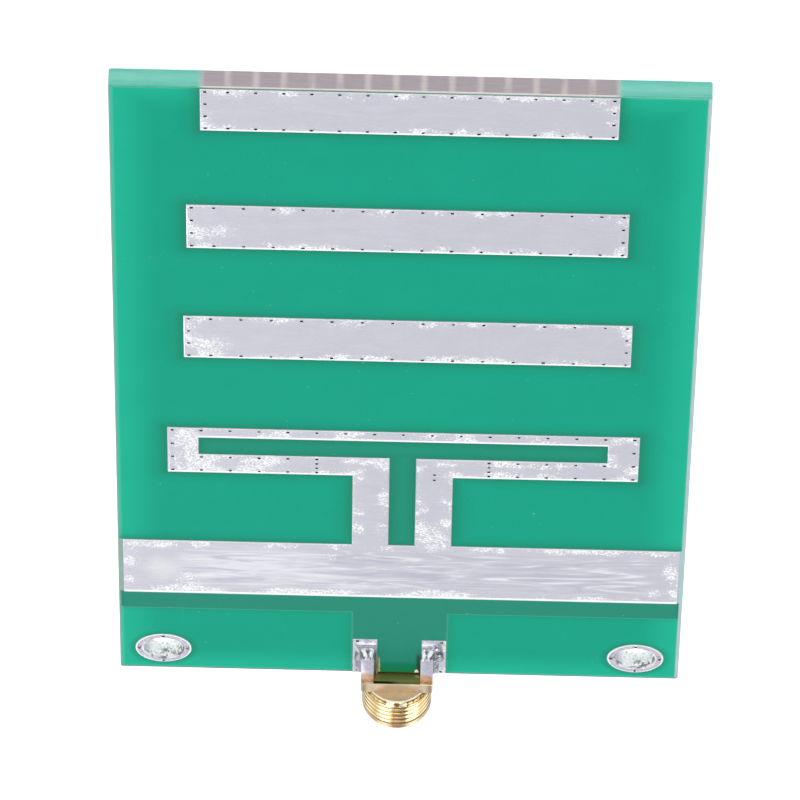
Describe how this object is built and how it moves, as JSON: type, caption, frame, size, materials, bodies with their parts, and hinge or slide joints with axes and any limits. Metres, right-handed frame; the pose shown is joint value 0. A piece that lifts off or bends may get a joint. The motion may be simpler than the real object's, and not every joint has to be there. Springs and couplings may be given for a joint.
{
  "type": "directional antenna",
  "caption": "Flat printed-circuit directional antenna with a reflector strip, a folded dipole, directors, plated mounting holes and a threaded coaxial edge jack.",
  "frame": {"origin": "on the table, centred under the whole outline; the jack's barrel is what reaches the table", "axes": "+Z out of the board's front face, +Y along the board towards its directors, the jack opens along -Y"},
  "size_m": [0.0504, 0.1064, 0.0063],
  "materials": {
    "laminate": "matte glass-fibre laminate",
    "solder_mask": "glossy green coating",
    "tinned_copper": "bright tinned copper, slightly uneven",
    "gold_plate": "gold-plated brass, turned",
    "insulator": "smooth white fluoropolymer",
    "solder": "bright solder"
  },
  "bodies": {
    "root": {"laminate": "laminate", "front_solder_mask": "solder_mask", "rear_solder_mask": "solder_mask", "front_dipole": "tinned_copper", "rear_dipole": "tinned_copper", "rear_feed_line": "tinned_copper", "rear_pad_left": "tinned_copper", "rear_pad_right": "tinned_copper", "director_1_front": "tinned_copper", "director_1_rear": "tinned_copper", "director_2_front": "tinned_copper", "director_2_rear": "tinned_copper", "director_3_front": "tinned_copper", "director_3_rear": "tinned_copper", "hole_ring_left": "tinned_copper", "hole_ring_right": "tinned_copper", "jack_body": "gold_plate", "centre_contact": "gold_plate", "jack_insulator": "insulator", "leg_solder_front_left": "solder", "leg_solder_front_right": "solder", "leg_solder_rear_left": "solder", "leg_solder_rear_right": "solder", "tab_solder": "solder"}
  },
  "joints": []
}
